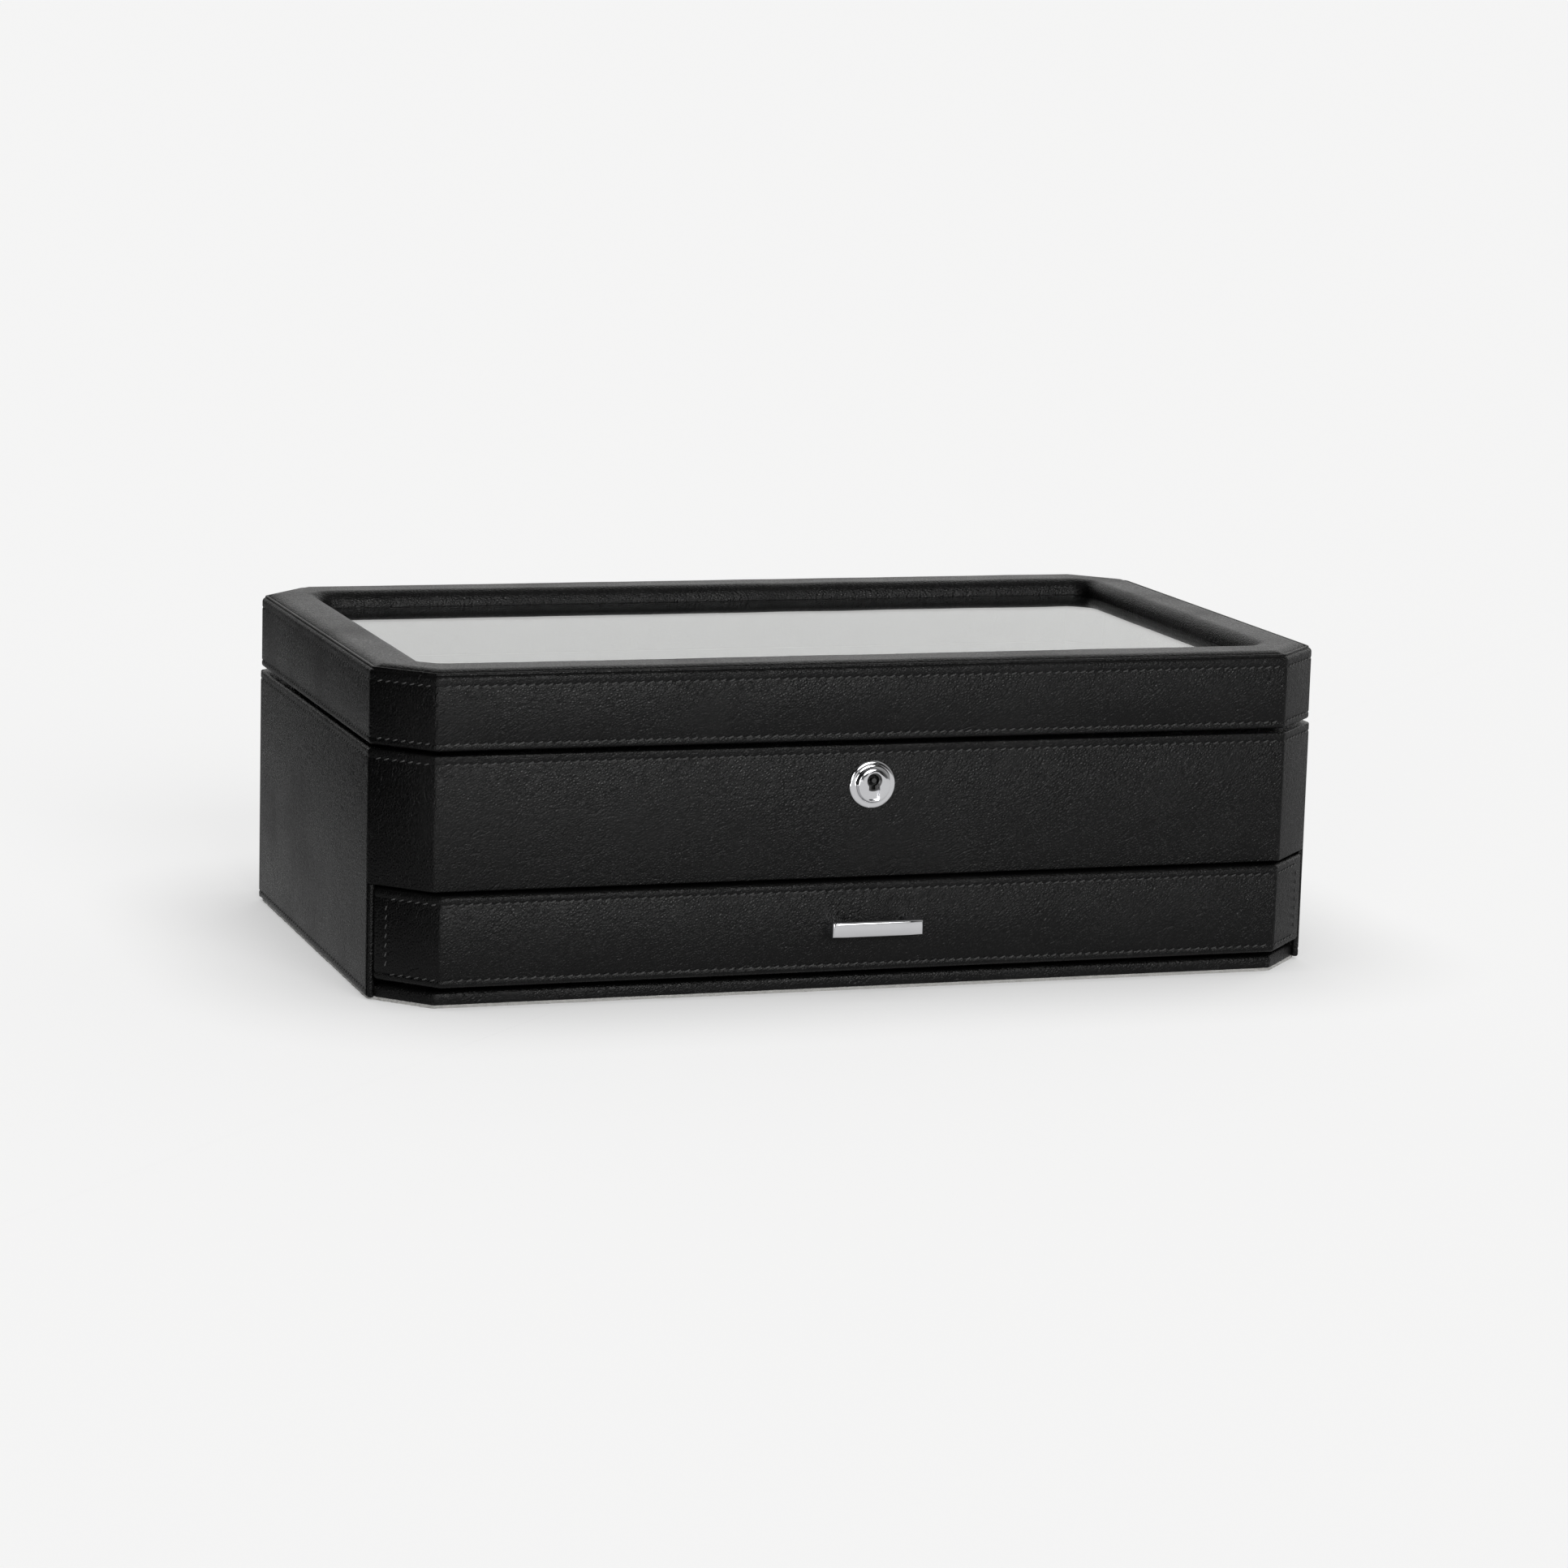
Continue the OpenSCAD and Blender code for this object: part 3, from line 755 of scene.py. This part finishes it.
def seam(side, end):
    """Plane of the mitred seam at one corner of a side panel, as a point and a normal.

    side is 1 on the right and -1 on the left, end is -1 at the front and 1 at the back. The
    normal looks from the front or back cover to the side cover.
    """
    outer, inner = Plan(0).corners()[1], Plan(WALL).corners()[1]
    mitre = (outer - inner).normalized()
    across = Vector((-mitre.y * side, -mitre.x * end, 0))
    return Vector((side * outer.x, -end * outer.y, 0)) - across * 0.05 * MM, across


def make_cover(name, low, foot, trims, rows):
    """One leather cover of the case, softened at its rim and foot and pressed along its rows."""
    plan = Plan(0)
    cover = wall_of(f"case_{name}_cover", plan, WALL - 0.1 * MM, low, RIM, trims=trims)
    soften(cover, 1.2 * MM, 4, outer_edge_at(plan, RIM))
    soften(cover, foot, 3, outer_edge_at(plan, low))
    for row in rows:
        press_line(cover, plan, row)
    smooth(cover)
    hand_over(cover, CASE_LEATHER, "case", "black_leather", f"case_{name}_leather")


def make_case_covers():
    """Leather on the front, back and sides, which meet in mitred seams, and its stitching."""
    both_rows = (CASE_TOP_ROW, CASE_LOW_ROW)
    make_cover("front", FRONT_LOW, 1.3 * MM, [seam(1, -1), seam(-1, -1)], (CASE_TOP_ROW,))
    make_cover("back", CASE_LOW, 1.2 * MM, [seam(1, 1), seam(-1, 1)], both_rows)
    for side, name in ((1, "right"), (-1, "left")):
        trims = [(point, -normal) for point, normal in (seam(side, -1), seam(side, 1))]
        trims.append((Vector((0, 0, 0)), Vector((-side, 0, 0))))
        make_cover(name, CASE_LOW, 1.2 * MM, trims, both_rows)
        make_jamb_roll(side, name, CASE_LOW, FRONT_LOW)
    plan = Plan(0)
    hand_over(stitch_round("case_rim_stitching", plan, CASE_TOP_ROW, range(8)),
              THREAD, "case", "black_leather")
    hand_over(stitch_round("case_foot_stitching", plan, CASE_LOW_ROW, [2, 3, 4, 5, 6]),
              THREAD, "case", "black_leather")


def make_jamb_roll(side, name, low, high):
    """Rolled front edge of a side panel, beside the drawer."""
    radius, rings = 1.15 * MM, 14
    corner = Plan(0).corners()[1]
    along = Vector((-CHAMFER_X, -CHAMFER_Y, 0)) / chamfer_run
    inward = Vector((-CHAMFER_NORMAL.x, CHAMFER_NORMAL.y, 0))
    middle = corner + along * radius + inward * radius
    bpy.ops.object.select_all(action="DESELECT")
    bpy.ops.mesh.primitive_cylinder_add(vertices=20, radius=radius, depth=high - low,
                                        location=(side * middle.x, middle.y, (low + high) / 2))
    roll = bpy.context.object
    roll.name = f"case_{name}_jamb_roll"
    settle(roll)
    soften(roll, 0.4 * MM, 2, lambda a, b: abs(a.z - b.z) < 1e-6)
    for i in range(1, rings):
        slice_off(roll, (0, 0, low + (high - low) * i / rings), (0, 0, 1), keep_both=True)

    def uneven(p):
        here = p * 260
        return Vector((noise.noise(here), noise.noise(here + Vector((3, 1, 4))), 0)) * 0.12 * MM
    move_points(roll, uneven)
    smooth(roll, 60)
    hand_over(roll, CASE_LEATHER, "case", "black_leather")


def make_plinth():
    """Leather over the plinth below the drawer, and the felt under it."""
    low, high = plinth_box
    setback = low.y - case_front[0].y
    plan = Plan(1.3 * MM, front=setback, chamfer_front=setback)
    plinth = wall_of("plinth_cover", plan, 14 * MM, low.z, high.z,
                     trims=[(Vector((0, high.y, 0)), Vector((0, 1, 0)))])
    soften(plinth, 1.6 * MM, 4, outer_edge_at(plan, high.z))
    soften(plinth, 0.5 * MM, 2, outer_edge_at(plan, low.z))
    smooth(plinth)
    hand_over(plinth, DRAWER_LEATHER, "case", "black_leather", "base_leather")

    felt_low, felt_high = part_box("underside_felt")
    plan = Plan(1.0 * MM, front=setback + 0.3 * MM, chamfer_front=setback + 0.2 * MM)
    pad = sheet_of("underside_felt_pad", plan, felt_low.z, 1.7 * MM)
    edit(pad)
    bpy.ops.mesh.extrude_region_move(
        TRANSFORM_OT_translate={"value": (0, 0, felt_high.z - felt_low.z + 0.1 * MM)})
    done(pad)
    tidy(pad)
    edit(pad, edges=lambda a, b: (a - b).length > 8 * MM)
    bpy.ops.mesh.subdivide(number_cuts=90)
    done(pad)

    def fray(p):
        out = noise.noise(p * 900) * 0.35 * MM
        return plan.inward(p) * out if plan.depth(p) < 0.6 * MM else Vector((0, 0, 0))
    move_points(pad, fray)
    hand_over(pad, FELT, "case", "felt", "underside_felt")


# ------------------------------------------------------------------ the tray


def make_tray():
    """Cloth-wrapped dividers, halved together, and the finishes of the boards round them."""
    low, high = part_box("tray_long_divider")
    hand_over(wrapped_board("tray_long_divider_wrapped", low, high), LINING, "case",
              "lining_cloth", "tray_long_divider")
    low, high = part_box("tray_cross_dividers")
    pieces = []
    for i in range(CROSS_DIVIDERS):
        x = low.x + DIVIDER / 2 + (high.x - low.x - DIVIDER) * i / (CROSS_DIVIDERS - 1)
        pieces.append(wrapped_board(f"cross_{i}", (x - DIVIDER / 2, low.y, low.z),
                                    (x + DIVIDER / 2, high.y, high.z)))
    hand_over(join("tray_cross_dividers_wrapped", pieces), LINING, "case", "lining_cloth",
              "tray_cross_dividers")
    finish_node(LINING, "tray_lining")
    finish_node(BOARD, "tray_floor_board", "case_front_board", "case_back_board",
                "case_corner_blocks")
    finish_node(DARK_BOARD, "base_board", "case_left_board", "case_right_board")


def cushion_shape(low, high):
    """A loaf a little smaller than its space, which the filling then swells."""
    margin = Vector((3, 3, 3)) * MM
    shape = block("cushion", low + margin, high - margin)
    middle = (low + high) / 2
    soften(shape, 12 * MM, 5, lambda a, b: abs(a.x - b.x) > 1 * MM)
    soften(shape, 3 * MM, 3,
           lambda a, b: abs(a.x - b.x) < 0.1 * MM and abs(a.x - middle.x) > 10 * MM)
    return shape


def swell(piece):
    """Fills the cover like a stuffed cushion by cloth simulation; no point moves past the cap."""
    pressure, cap, steps = 4.0, 4 * MM, 20
    start = [v.co.copy() for v in piece.data.vertices]
    choose(piece)
    cloth = piece.modifiers.new("Cloth", "CLOTH")
    cloth.settings.use_pressure = True
    cloth.settings.uniform_pressure_force = pressure
    cloth.settings.effector_weights.gravity = 0
    cloth.settings.tension_stiffness = 30
    cloth.settings.compression_stiffness = 30
    cloth.settings.bending_stiffness = 2
    scene = bpy.context.scene
    for number in range(1, steps + 1):
        scene.frame_set(number)
    bpy.ops.object.modifier_apply(modifier=cloth.name)
    for v, before in zip(piece.data.vertices, start):
        shift = v.co - before
        if shift.length > cap:
            v.co = before + shift * (cap / shift.length)
    scene.frame_set(1)
    return piece


def make_cushions():
    """Ten stuffed watch cushions: one is made and the others are copies of it."""
    nodes = sorted(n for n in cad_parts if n.startswith("watch_cushion_"))
    low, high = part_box(nodes[0])
    middle = (low + high) / 2
    first = cushion_shape(low, high)
    add_modifier(first, "REMESH", mode="VOXEL", voxel_size=2.6 * MM, use_smooth_shade=True)
    swell(first)
    half = (high - low) / 2

    def held(p):
        """Keeps the cushion inside its space, and nips it in at the seams near both ends."""
        q = p - middle
        reach = max(abs(q.x) / half.x, abs(q.y) / half.y, abs(q.z) / half.z)
        inside = q if reach <= 1 else Vector((max(-half.x, min(half.x, q.x)),
                                              max(-half.y, min(half.y, q.y)),
                                              max(-half.z, min(half.z, q.z))))
        seam = math.exp(-((abs(q.x) - (half.x - 7 * MM)) / (1.6 * MM)) ** 2)
        round_in = Vector((0, -inside.y, -inside.z)) * 0.045 * seam
        return inside - q + round_in
    add_modifier(first, "SUBSURF", levels=1, render_levels=1)
    move_points(first, held)
    for name in nodes:
        here = (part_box(name)[0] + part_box(name)[1]) / 2
        piece = copy_of(first, f"{name}_stuffed", here - middle)
        smooth(piece, 80)
        hand_over(piece, CUSHION_CLOTH, "case", "cushion_cloth", name)
    bpy.data.objects.remove(first)


# ------------------------------------------------------------------ the drawer


def make_drawer():
    """Stitched leather front that turns round both chamfers, and the drawer's dividers."""
    low, high = drawer_box
    side = HALF_W - high.x
    proud = -low.y - HALF_D
    plan = Plan(side, front=-proud, chamfer_front=-0.5 * MM, back=side, chamfer_back=side)
    thickness = 11.1 * MM
    front = wall_of("drawer_front_cover", plan, thickness, low.z, high.z,
                    trims=[(Vector((0, high.y, 0)), Vector((0, 1, 0)))])
    soften(front, 1.5 * MM, 4, outer_edge_at(plan, high.z))
    soften(front, 1.5 * MM, 4, outer_edge_at(plan, low.z))
    rows = (high.z - 3.0 * MM, low.z + 2.6 * MM)
    for row in rows:
        press_line(front, plan, row)
    smooth(front)
    hand_over(front, DRAWER_LEATHER, "drawer", "black_leather", "drawer_front_leather")
    runs = [stitch_round(f"drawer_row_{i}", plan, row, [0, 1, 7],
                         ends={1: (0, 4 * MM), 7: (4 * MM, 0)}) for i, row in enumerate(rows)]
    corners = plan.corners()
    for i, end, fold, sign in ((1, corners[1], corners[0], 1), (7, corners[6], corners[7], -1)):
        outward = plan.planes()[i][0]
        along = (fold - end).normalized()
        foot = end + along * 4.2 * MM + outward * THREAD_PROUD
        runs.append(stitch_run(f"drawer_end_{i}", foot + Vector((0, 0, rows[1] + MM)),
                               foot + Vector((0, 0, rows[0] - MM)), outward, slant=sign))
    hand_over(join("drawer_front_stitching", runs), THREAD, "drawer", "black_leather")

    low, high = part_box("drawer_dividers")
    pieces = [wrapped_board("divider", (left, low.y, low.z), (right, high.y, high.z))
              for left, right in ((low.x, low.x + DIVIDER), (high.x - DIVIDER, high.x))]
    hand_over(join("drawer_dividers_wrapped", pieces), LINING, "drawer", "lining_cloth",
              "drawer_dividers")
    finish_node(LINING, "drawer_lining")
    finish_node(DARK_BOARD, "drawer_front_board", "drawer_corner_blocks", "drawer_left_side",
                "drawer_right_side", "drawer_back", "drawer_bottom")
    finish_node(STEEL, "pull_screws")


def make_pull():
    """Bar pull: a flat bar with eased edges on two short legs."""
    low, high = pull_box
    leg, bar = 5 * MM, 2.6 * MM
    pull = block("drawer_bar_pull", low, (high.x, low.y + bar, high.z))
    for x in (low.x + leg, high.x - leg):
        slice_off(pull, (x, 0, 0), (1, 0, 0), keep_both=True)
    edit(pull, faces=lambda c, n: n.y > 0.9 and abs(c.x) > high.x - leg)
    bpy.ops.mesh.extrude_region_move(
        TRANSFORM_OT_translate={"value": (0, high.y - low.y - bar, 0)})
    done(pull)
    tidy(pull)
    front = low.y

    def face_rim(a, b):
        on_face = a.y < front + 1e-6 and b.y < front + 1e-6
        cross_line = abs(a.x - b.x) < 1e-6 and abs(a.x) < high.x - 1e-6
        return on_face and not cross_line

    def leg_edge(a, b):
        runs_back = abs(a.x - b.x) < 1e-6 and abs(a.z - b.z) < 1e-6
        return runs_back and a.y > front + 1.5 * MM - 1e-6

    def bow(p):
        back = 0.25 * MM * (p.x / high.x) ** 2
        return Vector((0, back if p.y < front + MM else 0, 0))
    soften(pull, 0.8 * MM, 4, face_rim)
    soften(pull, 0.35 * MM, 2, leg_edge)
    move_points(pull, bow)
    smooth(pull, 40)
    hand_over(pull, CHROME, "drawer", "polished_chrome", "drawer_pull")


# ------------------------------------------------------------------ the lock


def turned_piece(name, profile, centre, sides):
    """Turns a profile of (radius, y) points about an axis along Y, closed at both ends."""
    bpy.ops.object.select_all(action="DESELECT")
    radius, y = profile[0]
    bpy.ops.mesh.primitive_circle_add(vertices=sides, radius=radius, fill_type="NGON",
                                      location=(centre[0], y, centre[1]),
                                      rotation=(math.pi / 2, 0, 0))
    piece = bpy.context.object
    piece.name = name
    settle(piece)
    for (r0, y0), (r1, y1) in zip(profile, profile[1:]):
        edit(piece, faces=lambda c, n: abs(c.y - y0) < 1e-6 and math.hypot(
            c.x - centre[0], c.z - centre[1]) < 1e-4)
        bpy.ops.mesh.extrude_region_move(TRANSFORM_OT_translate={"value": (0, y1 - y0, 0)})
        scale = r1 / r0
        bpy.ops.transform.resize(value=(scale, 1, scale),
                                 center_override=(centre[0], y1, centre[1]))
        done(piece)
    return tidy(piece)


def cut_out(piece, cutter):
    """Takes the cutter's shape out of the piece, and the cutter away."""
    add_modifier(piece, "BOOLEAN", operation="DIFFERENCE", object=cutter, solver="EXACT")
    bpy.data.objects.remove(cutter)
    return piece


def make_lock():
    """Turned rosette and barrel with the keyhole cut through its face, and the lock's finishes."""
    low, high = barrel_box
    face = -HALF_D
    centre = (0, (low.z + high.z) / 2)
    rosette, boss, shaft = (high.z - low.z) / 2, 5.65 * MM, 6 * MM
    proud = face - low.y
    barrel = turned_piece("lock_rosette", [
        (shaft, high.y), (shaft, face), (rosette - 0.1 * MM, face), (rosette, face - 0.3 * MM),
        (rosette - 0.15 * MM, face - 0.62 * MM), (rosette - 0.6 * MM, face - 0.85 * MM),
        (rosette - 1.2 * MM, face - 0.88 * MM), (boss + 0.75 * MM, face - 0.95 * MM),
        (boss + 0.3 * MM, face - 1.15 * MM), (boss + 0.06 * MM, face - 1.6 * MM),
        (boss, face - proud + 0.45 * MM), (boss - 0.12 * MM, face - proud + 0.14 * MM),
        (boss - 0.4 * MM, face - proud)], centre, 96)
    key_z = centre[1] + 1.6 * MM
    head, half_slot, plug = 2.65 * MM, 1.95 * MM, 3.76 * MM
    ahead, behind = face - proud - MM, face - proud + 1.25 * MM
    hole = turned_piece("keyhole_head", [(head, ahead), (head, behind)], (0, key_z), 48)
    slot = block("keyhole_slot", (-half_slot, ahead, centre[1] - 5.05 * MM),
                 (half_slot, behind, key_z))
    soften(slot, 0.7 * MM, 3, lambda a, b: abs(a.x - b.x) < 1e-6 and abs(a.z - b.z) < 1e-6
           and a.z < centre[1])
    bore = turned_piece("plug_bore", [(plug, face - proud + 1.2 * MM), (plug, high.y + MM)],
                        (0, key_z), 48)
    for cutter in (hole, slot, bore):
        cut_out(barrel, cutter)
    smooth(barrel, 40)
    hand_over(barrel, CHROME, "case", "polished_chrome", "lock_barrel")
    # The plug's dark steel is painted shade inside the keyhole.
    finish_node(KEYHOLE_SHADE_STEEL, "lock_plug")
    finish_node(STEEL, "lock_nut", "lock_cam", "lock_cam_screw", "lock_strike",
                "hinge_case_leaves", "hinge_lid_leaves", "hinge_pins", "hinge_case_screws",
                "lid_screws")


# ------------------------------------------------------------------ stage


def make_camera():
    """Stands in front and to the left, a little above the box."""
    turn, tilt, roll = math.radians(18.592), math.radians(10.194), math.radians(1.621)
    axes = (Matrix.Rotation(roll, 3, "Y") @ Matrix.Rotation(tilt, 3, "X")
            @ Matrix.Rotation(turn, 3, "Z"))
    right, ahead, up = axes
    data = bpy.data.cameras.new("camera")
    data.sensor_width = 36
    data.lens = 109.21
    data.clip_start, data.clip_end = 0.05, 300
    camera = bpy.data.objects.new("camera", data)
    bpy.context.scene.collection.objects.link(camera)
    camera.matrix_world = Matrix.Translation(Vector((-0.52520, -1.57150, 0.35030))) @ Matrix(
        (right, up, -ahead)).transposed().to_4x4()
    bpy.context.scene.camera = camera


def make_floor():
    """Pale paper sweep that glows of itself, its glow dimmed near the box as a painted contact
    shadow; the box sees it dim to the left, with a card.
    """
    bpy.ops.object.select_all(action="DESELECT")
    bpy.ops.mesh.primitive_plane_add(size=160, location=(0, 0, 0))
    floor = bpy.context.object
    floor.name = "studio_floor"
    m = Finish("pale_floor")
    seen = m.node("ShaderNodeLightPath", output="Is Camera Ray")
    place = m.place()
    paper = m.noise(place, 30, 2)
    x, y = m.parts(place)[:2]
    white = m.node("ShaderNodeBsdfDiffuse", {"Color": m.blend(paper, (0.296, 0.296, 0.296),
                                                              (0.3, 0.3, 0.3))})
    # Painted shadow: the floor's glow is turned down where the box hems it in.
    painted_shadow_ao = m.node("ShaderNodeAmbientOcclusion", {"Distance": 0.07}, output="AO")
    glow, card_glow = 0.745, 6.0
    under = m.node("ShaderNodeEmission", {"Color": (1, 1, 1, 1),
                                          "Strength": glow * (0.4 + painted_shadow_ao * 0.6)})
    lit = m.node("ShaderNodeAddShader", {0: white, 1: under})
    ahead = (0 - y).step(0.05, 0.25) * 0.2 + 0.44
    card = x.step(-0.5, -0.42) * (1 - x.step(-0.3, -0.24)) * (1 - y.step(-0.34, -0.26))
    mirrored = ahead * x.step(-0.5, -0.15) + card * card_glow + 0.008
    dim = m.node("ShaderNodeEmission", {"Color": (1, 1, 1, 1), "Strength": mirrored})
    mixed = m.node("ShaderNodeMixShader", {0: seen, 1: dim, 2: lit})
    m.feed(m.output.inputs["Surface"], mixed)
    floor.data.materials.append(m.data)


def make_light():
    """Soft studio surround: bright above and behind, dim to the left, a soft box front left."""
    world = bpy.data.worlds.new("studio")
    bpy.context.scene.world = world
    m = Finish("studio", world)
    toward = m.node("ShaderNodeTexCoord", output="Generated")

    def facing(x, y, z, low, high):
        """A soft patch of light in one direction: 1 at its middle, 0 past its edge."""
        way = Vector((x, y, z)).normalized()
        return m.node("ShaderNodeVectorMath", {0: toward, 1: way}, output="Value",
                      operation="DOT_PRODUCT").step(low, high)
    behind = facing(0.42, 0.88, 0.2, 0.66, 0.93)
    overhead = facing(0.1, 0.2, 1, 0.5, 0.95)
    right = facing(1, 0.1, 0.25, 0.4, 0.9)
    soft_box = facing(0.1, -0.9, 0.4, 0.955, 0.985)
    edge_strip = facing(-0.53, -0.83, 0.16, 0.965, 0.99)
    strength = (0.006 + behind * 0.93 + overhead * 0.2 + right * 0.35
                + soft_box * 11.0 + edge_strip * 5.0)
    glow = m.node("ShaderNodeBackground", {"Color": (1.0, 0.998, 0.99, 1), "Strength": strength})
    m.feed(m.output.inputs["Surface"], glow)
    bpy.context.scene.view_settings.view_transform = "Standard"


make_camera()
make_floor()
make_light()

make_lid_band()
make_lid_bead()
make_lid_pad()
finish_node(PANE, "glass_pane")
finish_node(LINING, "glass_retainer", "lid_wall_lining")
finish_node(BOARD, "lid_front_board", "lid_back_board", "lid_left_board", "lid_right_board",
            "lid_corner_blocks", "lid_top_frame")
make_case_covers()
make_plinth()
make_tray()
make_cushions()
make_drawer()
make_pull()
make_lock()
